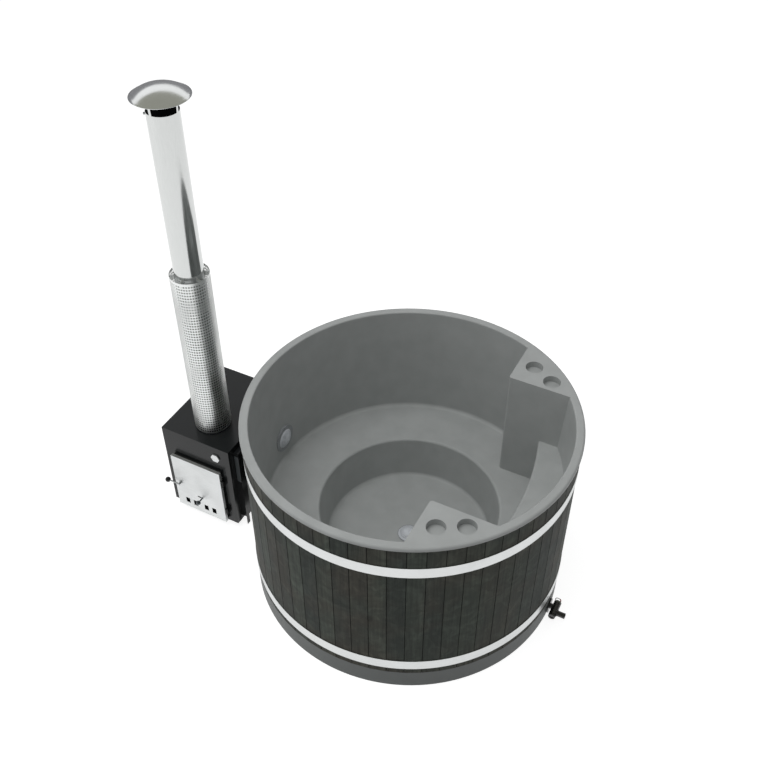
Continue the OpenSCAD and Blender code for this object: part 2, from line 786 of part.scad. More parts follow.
module heater_casing() {
    s = sheet_t;
    color("#232527") difference() {
        union() {
            difference() {
                box([heater_x1, heater_y1, foot_h], [heater_x2, -heater_y1, heater_z2]);
                box([heater_x1 + s, heater_y1 + s, foot_h + s], [heater_x2 - s, -heater_y1 - s, heater_z2 - s]);
            }
            for (q = [[return_r, return_z], [supply_r, supply_z]])
                along_x(heater_x2 - s, 0, q[1]) cylinder(r = q[0], h = s + 34 + hose_overlap);
        }
        box([mouth_x1, heater_y1 - eps, mouth_z1], [mouth_x2, heater_y1 + s + eps, mouth_z2]);
        translate([flue_x, flue_y, heater_z2 - s - eps]) cylinder(r = flue_r + slack, h = s + 2 * eps);
        for (q = [[return_r, return_z], [supply_r, supply_z]])
            along_x(heater_x2 - s - eps, 0, q[1]) cylinder(r = q[0] - pipe_t, h = s + 36 + hose_overlap);
        along_y(hex_x, heater_y1 - eps, hex_z) cylinder(r = hex_spigot_r + run, h = s + 2 * eps);
    }
}
firebox_back = heater_d / 2 - 70;
module firebox() {
    t = firebox_t;
    y1 = heater_y1 + sheet_t;
    color("#3a3836") difference() {
        union() {
            box([mouth_x1 - t, y1, mouth_z1 - t], [mouth_x2 + t, firebox_back, mouth_z2 + t]);
            at_flue(mouth_z2) cylinder(r = flue_r + t, h = heater_z2 - sheet_t - mouth_z2);
        }
        box([mouth_x1, y1 - eps, mouth_z1], [mouth_x2, firebox_back - t, mouth_z2]);
        at_flue(mouth_z2 - firebox_t) cylinder(r = flue_r - 3, h = flue_foot - mouth_z2 + 2 * firebox_t);
        at_flue(flue_foot) cylinder(r = flue_r + run, h = heater_z2 - flue_foot);
    }
}
grate_z = air_z + air_h / 2 + 12;
module fire_grate() {
    x1 = mouth_x1 + 2;
    x2 = mouth_x2 - 2;
    y1 = heater_y1 + 30;
    y2 = firebox_back - firebox_t - 4;
    bars = 9;
    color("#2b2a29") {
        for (y = [y1, y2 - 14]) {
            box([x1, y, grate_z], [x2, y + 14, grate_z + 12]);
            for (x = [x1, x2 - 14]) box([x, y, mouth_z1], [x + 14, y + 14, grate_z]);
        }
        for (i = [0:bars - 1]) let (x = x1 + (x2 - x1 - 12) * i / (bars - 1))
            box([x, y1 + 14, grate_z], [x + 12, y2 - 14, grate_z + 12]);
    }
}
module heater_feet() {
    color("#1f2122") for (x = [heater_x1 + 45, heater_x2 - 45], y = [-1, 1] * (heater_d / 2 - 50))
        translate([x, y, 0]) {
            cylinder(r = 24, h = 6);
            cylinder(r = 12, h = foot_h);
        }
}
shield_y = heater_d / 2 - shield_back;
shield_z2 = heater_z2 - 36;
pipe_slot = 80; // length of the slot that a pipe passes
module heat_shield() {
    x2 = heater_x2 + shield_d;
    y = shield_y;
    z1 = foot_h + 23;
    z2 = shield_z2;
    t = 1.5;
    color("#3c3f40") difference() {
        union() {
            difference() {
                box([heater_x2, -y, z1], [x2, y, z2]);
                box([heater_x2 - eps, -y + t, z1 + t], [x2 - t, y - t, z2 - t]);
            }
            mirror_y() box([x2 - t, y - 24, 0], [x2, y, z1]);
        }
        for (q = [[return_r, return_z, 1], [supply_r, supply_z, -1]]) {
            along_x(heater_x2 - eps, 0, q[1]) cylinder(r = q[0] + 5, h = shield_d + 2 * eps);
            translate([heater_x2 + shield_d / 2, 0, q[1] + q[2] * pipe_slot / 2])
                cube([shield_d + 2 * eps, 2 * q[0] + 10, pipe_slot], center = true);
        }
    }
}
// Light plate on the upper half of the shield's front.
module shield_cover() {
    z2 = shield_z2 - cover_down;
    color("#6f7273")
        box([heater_x2 + 2, -shield_y - 3, z2 - cover_h], [heater_x2 + shield_d - 1, -shield_y, z2]);
}
hex_x = heater_x2 - hex_in;
hex_z = heater_z2 - hex_down;
hex_spigot_r = 19;
module hex_plug() {
    color("#d5d8d9") {
        along_y(hex_x, heater_y1 - hex_l, hex_z) cylinder(r = hex_af / 2 / cos(30), h = hex_l, $fn = 6);
        along_y(hex_x, heater_y1, hex_z) cylinder(r = hex_spigot_r, h = 16);
    }
}

// ---------------------------------------------------------------- heater door

module air_holes(y1, y2, grow) {
    for (x = air_x)
        box([x - air_w / 2 - grow, y1, air_z - air_h / 2 - grow], [x + air_w / 2 + grow, y2, air_z + air_h / 2 + grow]);
}
module door_panel() {
    s = door_sheet;
    color("#d7dadb") difference() {
        box([door_x1, door_y1, door_z1], [door_x2, door_y2, door_z2]);
        box([door_x1 + s, door_y1 + s, door_z1 + s], [door_x2 - s, door_y2 + eps, door_z2 - s]);
        air_holes(door_y1 - eps, door_y1 + s + eps, 0);
        box([knob_x - damper_travel - stem_r - 1, door_y1 - eps, knob_z - stem_r - 1],
            [knob_x + stem_r + 1, door_y1 + s + eps, knob_z + stem_r + 1]);
        along_y(spindle_x, door_y1 - eps, spindle_z) cylinder(r = spindle_r + run, h = s + 2 * eps);
    }
}
liner_plate = 3;
module door_liner() {
    s = door_sheet;
    color("#5d5f60") difference() {
        box([door_x1 + s, door_y2 - liner_plate, door_z1 + s], [door_x2 - s, door_y2, door_z2 - s]);
        air_holes(door_y2 - 5, door_y2 + eps, 0);
        along_y(spindle_x, door_y2 - 5, spindle_z) cylinder(r = spindle_r + run, h = 8);
    }
}
seal_w = 9;
module door_seal() {
    a = 5;
    color("#8d8a80") difference() {
        box([mouth_x1 - a - seal_w, door_y2, mouth_z1 - a - seal_w],
            [mouth_x2 + a + seal_w, heater_y1 - slack, mouth_z2 + a + seal_w]);
        box([mouth_x1 - a, door_y2 - eps, mouth_z1 - a], [mouth_x2 + a, heater_y1 + eps, mouth_z2 + a]);
    }
}
module knuckle_at(z, bore) {
    translate([hinge_x, hinge_y, z]) difference() {
        union() {
            cylinder(r = knuckle_r, h = knuckle_l);
            children();
        }
        translate([0, 0, -eps]) cylinder(r = bore, h = knuckle_l + 2 * eps);
    }
}
module door_knuckles() {
    reach = hinge_x - door_x2;
    color("#6a6d6e") for (z = hinge_z) knuckle_at(z + knuckle_l + slack, pin_r + run)
        box([-reach, -knuckle_r, 0], [0, -knuckle_r + 4, knuckle_l]);
}
module hinge_brackets() {
    color("#232527") for (z = hinge_z) knuckle_at(z, pin_r)
        box([0, 0, 0], [knuckle_r, heater_y1 - hinge_y, knuckle_l]);
}
module hinge_pins() {
    color("#b8babb") for (z = hinge_z) translate([hinge_x, hinge_y, z])
        cylinder(r = pin_r, h = 2 * knuckle_l + slack);
}

// The latch's arm points left; turned 90 degrees it hangs down and its tongue
// lies behind the keeper.
tongue_reach = 13.5;
module latch_handle() {
    y1 = arm_y - 5;
    color("#6f7273") {
        along_y(spindle_x, y1, spindle_z) cylinder(r = spindle_r, h = tongue_y + 5 - y1);
        along_y(spindle_x, door_y1 - 3 - run, spindle_z) cylinder(r = spindle_r + 4, h = 3);
        translate([spindle_x, arm_y, spindle_z]) rotate([0, -90, 0])
            cylinder(r = 4, h = arm_l - arm_ball_r + 4);
        box([spindle_x - 4, tongue_y, spindle_z], [spindle_x + 4, tongue_y + 5, spindle_z + tongue_reach]);
    }
}
module latch_ball() {
    color("#1d1e20") difference() {
        translate([spindle_x - arm_l, arm_y, spindle_z]) sphere(r = arm_ball_r);
        translate([spindle_x, arm_y, spindle_z]) rotate([0, -90, 0])
            cylinder(r = 4, h = arm_l - arm_ball_r + 4);
    }
}
module latch_keeper() {
    y2 = tongue_y - 1;
    color("#4a4d4f") box([mouth_x1, y2 - 6, spindle_z - 12], [mouth_x1 + 7, y2, spindle_z + 12]);
}

stem_r = 4;
slide_t = 2;
slide_y = door_y1 + door_sheet + 0.4;
module damper_slide() {
    m = 9;
    color("#3f4243") difference() {
        union() {
            box([air_x[0] - air_w / 2 - m, slide_y, air_z - air_h / 2 - m],
                [air_x[3] + air_w / 2 + m, slide_y + slide_t, air_z + air_h / 2 + m]);
            box([knob_x - 10, slide_y, air_z], [knob_x + 10, slide_y + slide_t, knob_z + 10]);
        }
        air_holes(slide_y - eps, slide_y + slide_t + eps, 0);
        along_y(knob_x, slide_y - eps, knob_z) cylinder(r = stem_r, h = slide_t + 2 * eps);
    }
}
module damper_guides() {
    m = 9.3;
    x1 = air_x[0] - air_w / 2 - damper_travel - 5;
    x2 = air_x[3] + air_w / 2 + 5;
    low = air_z - air_h / 2 - m;
    high = air_z + air_h / 2 + m;
    back = slide_y + slide_t + 0.4;
    gap = [knob_x - damper_travel - 14, knob_x + 14];
    color("#57595a") {
        box([x1, door_y1 + door_sheet, low - 7], [x2, back + 2, low]);
        box([x1, back, low - 7], [x2, back + 2, low + 4]);
        for (q = [[x1, gap[0]], [gap[1], x2]]) {
            box([q[0], door_y1 + door_sheet, high], [q[1], back + 2, high + 7]);
            box([q[0], back, high - 4], [q[1], back + 2, high + 7]);
        }
    }
}
module damper_knob() {
    y = door_y1 - damper_stem_l;
    color("#8e9294") along_y(knob_x, y, knob_z) cylinder(r = stem_r, h = slide_y + slide_t - y);
    color("#2a2b2d") translate([knob_x, y - damper_ball_r * 0.6, knob_z]) sphere(r = damper_ball_r);
}

// ---------------------------------------------------------------- chimney

module at_flue(z) { translate([flue_x, flue_y, z]) children(); }
module flue_collar() {
    color("#1e2021") at_flue(heater_z2) {
        tube(flue_r + 20, flue_r + slack, 5);
        tube(flue_r + 4, flue_r + slack, 40);
    }
}
// Pipe from the firebox, drawn in above its shoulder to fit inside the upper one.
module lower_flue() {
    h = joint_z + slip_l - flue_foot;
    color("#c9cccd") at_flue(flue_foot) difference() {
        union() {
            cylinder(r = lower_r, h = h);
            cylinder(r = flue_r, h = joint_z - flue_foot);
        }
        translate([0, 0, -eps]) cylinder(r = lower_r - flue_t, h = h + 2 * eps);
    }
}
module upper_flue() {
    color("#d4d7d8") difference() {
        at_flue(joint_z) tube(flue_r, flue_r - flue_t, upper_l);
        at_lock() cylinder(r = lock_r / 2 + run, h = flue_r);
    }
}
// Axis of the screw that locks the cap in the flue, outwards from the chimney's axis.
module at_lock() { at_flue(flue_top - lock_down) rotate(lock_a) rotate([0, 90, 0]) children(); }
module cap_screw() {
    color("#c4c7c9") at_lock() {
        translate([0, 0, strap_ri + slack]) cylinder(r = lock_r / 2, h = flue_r - strap_ri + lock_r);
        translate([0, 0, flue_r + slack]) cylinder(r = lock_r, h = 1.5 * lock_r);
    }
}
module heat_guard() {
    color("#b9bcbd") at_flue(guard_z) tube(guard_r, guard_r - flue_t, guard_h);
}
// Two rings of tabs that hold the guard off the flue.
module guard_spacers() {
    color("#c9cccd") for (z = [guard_z + 45, guard_z + guard_h - tab_h], k = [0:5])
        at_flue(z) intersection() {
            tube(guard_r - flue_t, flue_r, tab_h);
            rotate(tab_a + 60 * k) box([0, -tab_w / 2, 0], [guard_r, tab_w / 2, tab_h]);
        }
}
strap_a = [6, 84, 186, 264];
strap_t = 2;
strap_ri = flue_r - flue_t - strap_t;
ball_r = (cap_r * cap_r + cap_h * cap_h) / (2 * cap_h);
// Ball that the cap's dome is cut from, smaller by t.
module cap_ball(t) { at_flue(cap_z + cap_h - ball_r) sphere(r = ball_r - t); }
// Strips that stand in the flue's mouth and carry the cap.
module cap_straps() {
    down = 50;
    h = cap_z + cap_h - flue_top;
    color("#c9cccd") intersection() {
        at_flue(flue_top) for (a = strap_a) rotate(a) intersection() {
            union() {
                translate([0, 0, -down]) tube(flue_r - flue_t, strap_ri, down);
                difference() {
                    cylinder(r1 = flue_r, r2 = flue_r + strap_lean, h = h);
                    translate([0, 0, -eps / 2]) cylinder(r1 = strap_ri, r2 = strap_ri + strap_lean, h = h + eps);
                }
            }
            box([0, -strap_w / 2, -down], [flue_r + strap_lean, strap_w / 2, h]);
        }
        union() {
            cap_ball(cap_t);
            at_flue(flue_top - down) cylinder(r = flue_r, h = down);
        }
    }
}
// Mesh cylinder in the gap under the cap, fixed to the straps.
module spark_guard() {
    z1 = flue_top - 30;
    color("#0c0d0d") at_flue(z1) tube(strap_ri, strap_ri - 1.5, cap_z + 6 - z1);
}
module rain_cap() {
    color("#a9acae") difference() {
        intersection() {
            cap_ball(0);
            at_flue(cap_z) cylinder(r = cap_r, h = cap_h + eps);
        }
        cap_ball(cap_t);
    }
}

tub_liner();
base_pan();
base_joists();
bench_posts();
bench_ring();
wall_insulation();
cladding(0, pipe_boards[0] - 1);  // cladding_1
cladding(pipe_boards[0], pipe_boards[1]);  // cladding_2
cladding(pipe_boards[1] + 1, board_n - 1);  // cladding_3
band(band_top_z);  // upper_band
band(band_low_z);  // lower_band
band_bolts();
band_nuts();
return_flange();
return_gasket();
return_nut();
return_strainer();
drain_sump();
sump_nut();
drain_strainer();
drain_pipe();
supply_pipe();
return_hose();
supply_hose();
hose_clamps();
valve_flange();
valve_body();
valve_end_cap();
valve_plug();
valve_knob();
valve_bail();
bail_sleeve();
heater_casing();
firebox();
fire_grate();
heater_feet();
heat_shield();
shield_cover();
hex_plug();
door_panel();
door_liner();
door_seal();
door_knuckles();
hinge_brackets();
hinge_pins();
latch_handle();
latch_ball();
latch_keeper();
damper_slide();
damper_guides();
damper_knob();
flue_collar();
lower_flue();
upper_flue();
heat_guard();
guard_spacers();
spark_guard();
cap_straps();
cap_screw();
rain_cap();
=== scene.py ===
import json
import math

import bpy
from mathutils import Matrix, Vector


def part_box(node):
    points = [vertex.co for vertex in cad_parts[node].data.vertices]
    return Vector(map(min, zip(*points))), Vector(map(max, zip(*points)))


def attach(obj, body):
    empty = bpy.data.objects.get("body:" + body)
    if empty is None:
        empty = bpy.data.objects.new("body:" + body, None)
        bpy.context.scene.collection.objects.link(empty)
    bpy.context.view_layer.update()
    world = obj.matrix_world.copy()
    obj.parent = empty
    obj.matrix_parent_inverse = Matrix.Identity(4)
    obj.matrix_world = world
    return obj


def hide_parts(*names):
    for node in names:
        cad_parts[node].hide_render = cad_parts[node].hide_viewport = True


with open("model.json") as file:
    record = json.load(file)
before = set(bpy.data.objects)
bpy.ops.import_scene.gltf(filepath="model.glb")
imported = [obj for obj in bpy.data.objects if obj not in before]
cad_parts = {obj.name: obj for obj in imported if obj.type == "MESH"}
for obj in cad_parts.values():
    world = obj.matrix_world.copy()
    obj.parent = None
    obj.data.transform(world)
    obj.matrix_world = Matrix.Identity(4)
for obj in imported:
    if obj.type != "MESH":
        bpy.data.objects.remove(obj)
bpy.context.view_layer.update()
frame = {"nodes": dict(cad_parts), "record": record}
nodes = frame["nodes"]
bpy.ops.object.select_all(action="DESELECT")
print("frame loaded:", len(nodes), "nodes")

# materials: sRGB hex colours, pattern sizes in millimetres


def linear(code):
    channels = []
    for i in (1, 3, 5):
        c = int(code[i:i + 2], 16) / 255
        channels.append(c / 12.92 if c <= 0.04045 else ((c + 0.055) / 1.055) ** 2.4)
    return (*channels, 1.0)


def perSize(millimetres):
    return 1000 / millimetres


def addNode(tree, kind, settings=None, links=None):
    node = tree.nodes.new("ShaderNode" + kind)
    for name, value in (settings or {}).items():
        if isinstance(name, str) and hasattr(node, name):
            setattr(node, name, value)
        else:
            node.inputs[name].default_value = value
    for name, source in (links or {}).items():
        tree.links.new(source, node.inputs[name])
    return node


def mathNode(tree, operation, first, second=None, fixed=None):
    settings = {"operation": operation}
    links = {0: first}
    if fixed is not None:
        settings[1] = fixed
    if second is not None:
        links[1] = second
    return addNode(tree, "Math", settings, links).outputs[0]


def remap(tree, value, fromRange, toRange):
    return addNode(tree, "MapRange", {"From Min": fromRange[0], "From Max": fromRange[1],
                                      "To Min": toRange[0], "To Max": toRange[1]}, {"Value": value}).outputs[0]


def roughen(tree, shader, height, strength, distance):
    bump = addNode(tree, "Bump", {"Strength": strength, "Distance": distance}, {"Height": height})
    tree.links.new(bump.outputs[0], shader.inputs["Normal"])


def emptyTree(owner):
    owner.use_nodes = True
    owner.node_tree.nodes.clear()
    return owner.node_tree


def startMaterial(name, **fixed):
    material = bpy.data.materials.new(name)
    tree = emptyTree(material)
    shader = addNode(tree, "BsdfPrincipled", {k.replace("_", " "): v for k, v in fixed.items()})
    addNode(tree, "OutputMaterial", links={"Surface": shader.outputs["BSDF"]})
    place = addNode(tree, "TexCoord").outputs["Object"]
    return material, tree, shader, place


noiseRange = (0.3, 0.7)  # nearly all of a noise texture's values lie in here

# softwood boards under dark grey exterior stain; count, firstSeam in degrees and width follow the built boards
# seamShade darkens the boards next to each seam: painted shade
boardLook = {"count": 60, "firstSeam": 0.9, "width": 83.0, "seam": 1.8, "seamReach": (0.5, 1.6), "seamShade": 0.35,
             "dark": "#3c413d", "light": "#50564f",
             "warm": "#4f4a43", "warmFrom": (0.42, 0.65), "warmShare": 0.6, "cloud": 260.0,
             "grainStretch": 0.05, "grainShift": 3.7,
             "streak": 18.0, "streakShade": (0.62, 1.42), "fibre": 2.4, "fibreShade": (0.95, 1.05),
             # markShade lightens the boards in soft smudges at random: painted highlights
             "mark": 70.0, "markFrom": (0.42, 0.68), "markShade": (0.9, 1.35),
             "knot": "#232422", "knotSpacing": 190.0, "knotStretch": 0.6, "knotEdge": (0.05, 0.1), "knotShare": 0.5,
             "roughness": (0.48, 0.7), "sheen": 0.1, "bump": 0.2, "depth": 0.0005}


def stainedBoard(name, board):
    # each board takes the stain differently, the grain shows as long soft streaks, here and there a knot
    material, tree, shader, place = startMaterial(name, Specular_IOR_Level=board["sheen"])
    axes = addNode(tree, "SeparateXYZ", links={0: place}).outputs
    angle = mathNode(tree, "ARCTAN2", axes["Y"], axes["X"])
    turn = addNode(tree, "Math", {"operation": "MULTIPLY_ADD", 1: board["count"] / (2 * math.pi),
                                  2: -board["firstSeam"] * board["count"] / 360}, {0: angle}).outputs[0]
    index = mathNode(tree, "FLOOR", turn)
    chance = addNode(tree, "TexWhiteNoise", {"noise_dimensions": "1D"}, {"W": index}).outputs["Value"]

    # grain drawn out along the board and shifted from board to board
    shift = mathNode(tree, "MULTIPLY", index, fixed=board["grainShift"])
    squash = addNode(tree, "Math", {"operation": "MULTIPLY_ADD", 1: board["grainStretch"]},
                     {0: axes["Z"], 2: shift}).outputs[0]
    along = addNode(tree, "CombineXYZ", links={"X": axes["X"], "Y": axes["Y"], "Z": squash}).outputs[0]
    streak = addNode(tree, "TexNoise", {"Scale": perSize(board["streak"]), "Detail": 3.0, "Roughness": 0.6},
                     {"Vector": along}).outputs["Fac"]
    fibre = addNode(tree, "TexNoise", {"Scale": perSize(board["fibre"]), "Detail": 2.0},
                    {"Vector": along}).outputs["Fac"]
    cloud = addNode(tree, "TexNoise", {"Scale": perSize(board["cloud"]), "Detail": 2.0},
                    {"Vector": place}).outputs["Fac"]
    # mark: soft lighter smudges at random over the boards, painted highlights
    mark = addNode(tree, "TexNoise", {"Scale": perSize(board["mark"]), "Detail": 2.0, "Distortion": 1.2},
                   {"Vector": place}).outputs["Fac"]

    base = addNode(tree, "Mix", {"data_type": "RGBA", 6: linear(board["dark"]), 7: linear(board["light"])},
                   {0: chance}).outputs[2]
    warmth = remap(tree, cloud, board["warmFrom"], (0.0, board["warmShare"]))
    warm = addNode(tree, "Mix", {"data_type": "RGBA", 7: linear(board["warm"])}, {0: warmth, 6: base}).outputs[2]
    grain = mathNode(tree, "MULTIPLY", remap(tree, streak, noiseRange, board["streakShade"]),
                     remap(tree, fibre, noiseRange, board["fibreShade"]))

    # painted shade: the boards are darker next to the groove between two boards, where shade falls
    fromEdge = addNode(tree, "Math", {"operation": "PINGPONG", 1: 0.5}, {0: mathNode(tree, "FRACT", turn)}).outputs[0]
    seamEdge = [board["seam"] / board["width"] * share for share in board["seamReach"]]
    paintedHighlightAndSeamShade = mathNode(tree, "MULTIPLY", remap(tree, mark, board["markFrom"], board["markShade"]),
                    remap(tree, fromEdge, seamEdge, (board["seamShade"], 1.0)))
    shade = mathNode(tree, "MULTIPLY", grain, paintedHighlightAndSeamShade)
    stainWithPaintedLight = addNode(tree, "VectorMath", {"operation": "SCALE"}, {0: warm, "Scale": shade}).outputs[0]

    knotPlace = addNode(tree, "Mapping", {"Scale": (1.0, 1.0, board["knotStretch"])}, {"Vector": place}).outputs[0]
    knot = addNode(tree, "TexVoronoi", {"Scale": perSize(board["knotSpacing"])}, {"Vector": knotPlace})
    knotMask = remap(tree, knot.outputs["Distance"], board["knotEdge"], (1.0, 0.0))
    knotStrength = mathNode(tree, "MULTIPLY", knotMask, fixed=board["knotShare"])
    knotted = addNode(tree, "Mix", {"data_type": "RGBA", 7: linear(board["knot"])}, {0: knotStrength, 6: stainWithPaintedLight})
    tree.links.new(knotted.outputs[2], shader.inputs["Base Color"])
    tree.links.new(remap(tree, streak, (0.0, 1.0), board["roughness"]), shader.inputs["Roughness"])
    roughen(tree, shader, fibre, board["bump"], board["depth"])
    return material


mouldBump = 0.2  # strength of the mould texture


def mouldedPlastic(name, colour, roughness, cloud=90.0, grain=1.6, depth=0.00012, spread=0.05, sheen=0.5):
    # moulded thermoplastic: even colour with a trace of flow clouding, fine mould texture
    material, tree, shader, place = startMaterial(name, Roughness=roughness, Specular_IOR_Level=sheen)
    flow = addNode(tree, "TexNoise", {"Scale": perSize(cloud), "Detail": 3.0}, {"Vector": place})
    shade = remap(tree, flow.outputs["Fac"], noiseRange, (1 - spread, 1 + spread))
    tint = addNode(tree, "VectorMath", {"operation": "SCALE", 0: linear(colour)[:3]}, {"Scale": shade})
    tree.links.new(tint.outputs[0], shader.inputs["Base Color"])
    skin = addNode(tree, "TexNoise", {"Scale": perSize(grain), "Detail": 2.0}, {"Vector": place})
    roughen(tree, shader, skin.outputs["Fac"], mouldBump, depth)
    return material


steelLook = {"patch": 140.0, "patchSheen": (0.85, 1.2), "bump": 0.05, "depth": 0.00005}


def sheetSteel(name, colour, roughness, brush=(1.0, 1.0, 1.0), line=1.2, spread=0.06, metallic=1.0):
    # rolled or brushed stainless sheet: fine lines along the brushing, a slight change of sheen
    material, tree, shader, place = startMaterial(name, Metallic=metallic)
    turned = addNode(tree, "Mapping", {"Scale": brush}, {"Vector": place})
    lines = addNode(tree, "TexNoise", {"Scale": perSize(line), "Detail": 3.0, "Roughness": 0.7},
                    {"Vector": turned.outputs[0]})
    patch = addNode(tree, "TexNoise", {"Scale": perSize(steelLook["patch"]), "Detail": 2.0}, {"Vector": place})
    shade = remap(tree, lines.outputs["Fac"], noiseRange, (1 - spread, 1 + spread))
    tint = addNode(tree, "VectorMath", {"operation": "SCALE", 0: linear(colour)[:3]}, {"Scale": shade})
    tree.links.new(tint.outputs[0], shader.inputs["Base Color"])
    sheen = remap(tree, patch.outputs["Fac"], noiseRange, [roughness * share for share in steelLook["patchSheen"]])
    tree.links.new(sheen, shader.inputs["Roughness"])
    roughen(tree, shader, lines.outputs["Fac"], steelLook["bump"], steelLook["depth"])
    return material


finishes = {
    "boards": stainedBoard("stainedSoftwood", boardLook),
    "liner": mouldedPlastic("mouldedLinerPlastic", "#a9acab", 0.38),
    "skirt": mouldedPlastic("skirtPlastic", "#727675", 0.5, sheen=0.3),
    "timber": mouldedPlastic("planedTimber", "#b48d60", 0.7, cloud=30.0, spread=0.15),
    "foam": mouldedPlastic("insulatingFoam", "#d8ca92", 0.9, grain=4.0, depth=0.001),
    "band": sheetSteel("bandSteel", "#d3d5d5", 0.36, brush=(0.05, 0.05, 1.0)),
    "fastener": sheetSteel("zincedSteel", "#b9bcbd", 0.35),
    "fitting": mouldedPlastic("fittingPlastic", "#96999c", 0.4),
    "gasket": mouldedPlastic("gasketRubber", "#26272a", 0.7),
    "strainer": mouldedPlastic("strainerPlastic", "#d3d7dc", 0.3),
    "pipe": mouldedPlastic("pipePlastic", "#4a4d4f", 0.45),
    "hose": mouldedPlastic("rubberHose", "#2f3133", 0.6),
    "valve": mouldedPlastic("valvePlastic", "#1d1e1c", 0.22, sheen=0.8),
    "valve_core": mouldedPlastic("valveKnobPlastic", "#555b50", 0.3, sheen=0.7),
    "wire": sheetSteel("bailWire", "#c9c6c6", 0.25),
    "heater_paint": mouldedPlastic("stoveEnamel", "#202223", 0.2, cloud=200.0, grain=1.0, depth=0.00006, sheen=0.22),
    "cover_grey": mouldedPlastic("coverPaint", "#53585a", 0.4),
    "sleeve_red": mouldedPlastic("redSleeve", "#b3392f", 0.4),
    "fire_iron": mouldedPlastic("fireIron", "#33302e", 0.8, cloud=40.0, spread=0.25),
    "door_steel": sheetSteel("doorSteel", "#e3e5e5", 0.52, brush=(0.03, 1.0, 1.0), metallic=0.88),
    "inner_steel": sheetSteel("innerSteel", "#8d9091", 0.45),
    "seal_rope": mouldedPlastic("sealRope", "#262524", 0.95, grain=2.2, depth=0.0012),
    "black_ball": mouldedPlastic("phenolicBall", "#1b1c1e", 0.18),
    "knob_grey": sheetSteel("castKnob", "#5f6467", 0.35),
    "flue_steel": sheetSteel("flueSteel", "#cbcdcc", 0.12, brush=(1.0, 1.0, 0.03)),
    "guard_sheet": sheetSteel("guardSteel", "#e6e8e7", 0.4),
    "inner_flue": sheetSteel("innerFlueSteel", "#c9cccb", 0.25, brush=(1.0, 1.0, 0.03), metallic=0.7),
    "mesh_black": mouldedPlastic("sparkMesh", "#050505", 0.8, sheen=0.05),
    "cap_steel": sheetSteel("capSteel", "#e6e8e8", 0.2),
}
slotOf = {s["node"]: s["material_slot"] for s in frame["record"]["subparts"]}
ownFinish = {"lower_flue": "inner_flue", "guard_spacers": "guard_sheet"}  # a finish other than the slot's own
for name, node in nodes.items():
    node.data.materials.clear()
    node.data.materials.append(finishes[ownFinish.get(name, slotOf[name])])
print("materials done:", len(finishes))

# pieces made here, each in the place of a plain node


def clearPick():
    if bpy.context.object and bpy.context.object.mode != "OBJECT":
        bpy.ops.object.mode_set(mode="OBJECT")
    bpy.ops.object.select_all(action="DESELECT")


def finishPiece(piece, name, body, slotName, replaced=(), smooth=30.0, look=None):
    clearPick()
    piece.name = name
    piece.data.name = name
    bpy.context.view_layer.objects.active = piece
    piece.select_set(True)
    bpy.ops.object.transform_apply(location=True, rotation=True, scale=True)
    bpy.ops.object.shade_smooth_by_angle(angle=math.radians(smooth))
    piece.data.materials.clear()
    piece.data.materials.append(finishes[look or slotName])
    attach(piece, body)
    if replaced:
        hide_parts(*replaced)
    clearPick()
    return piece


def pickFaces(piece, chosen):
    for face in piece.data.polygons:
        face.select = chosen(face)


def giveWall(piece, thickness, offset):
    wall = piece.modifiers.new("wall", "SOLIDIFY")
    wall.thickness = thickness / 1000
    wall.offset = offset
    bpy.context.view_layer.objects.active = piece
    bpy.ops.object.modifier_apply(modifier="wall")


def turnRings(rings, sides, foot):
    # a turned skin: one circle, extruded and scaled from ring to ring
    clearPick()
    (firstR, firstZ) = rings[0]
    bpy.ops.mesh.primitive_circle_add(vertices=sides, radius=firstR, location=(foot[0], foot[1], foot[2] + firstZ))
    piece = bpy.context.object
    bpy.ops.object.mode_set(mode="EDIT")
    bpy.ops.mesh.select_mode(type="VERT")
    for (r1, z1), (r2, z2) in zip(rings, rings[1:]):
        bpy.ops.mesh.extrude_region_move(TRANSFORM_OT_translate={"value": (0, 0, z2 - z1)})
        bpy.ops.transform.resize(value=(r2 / r1, r2 / r1, 1), center_override=(foot[0], foot[1], foot[2] + z2))
    bpy.ops.object.mode_set(mode="OBJECT")
    return piece


def faceOutwards(piece):
    bpy.ops.object.mode_set(mode="EDIT")
    bpy.ops.mesh.select_all(action="SELECT")
    bpy.ops.mesh.normals_make_consistent(inside=False)
    bpy.ops.object.mode_set(mode="OBJECT")


# perforated sheet round the lower flue: one column of holes for each flat of the tube
# hole is half a hole's width, corner the share of it cut off so that the hole has eight even sides
guard = {"columns": 48, "rows": 58, "hole": 4.6, "corner": 0.586, "edge": 9.0, "sheet": 1.2}


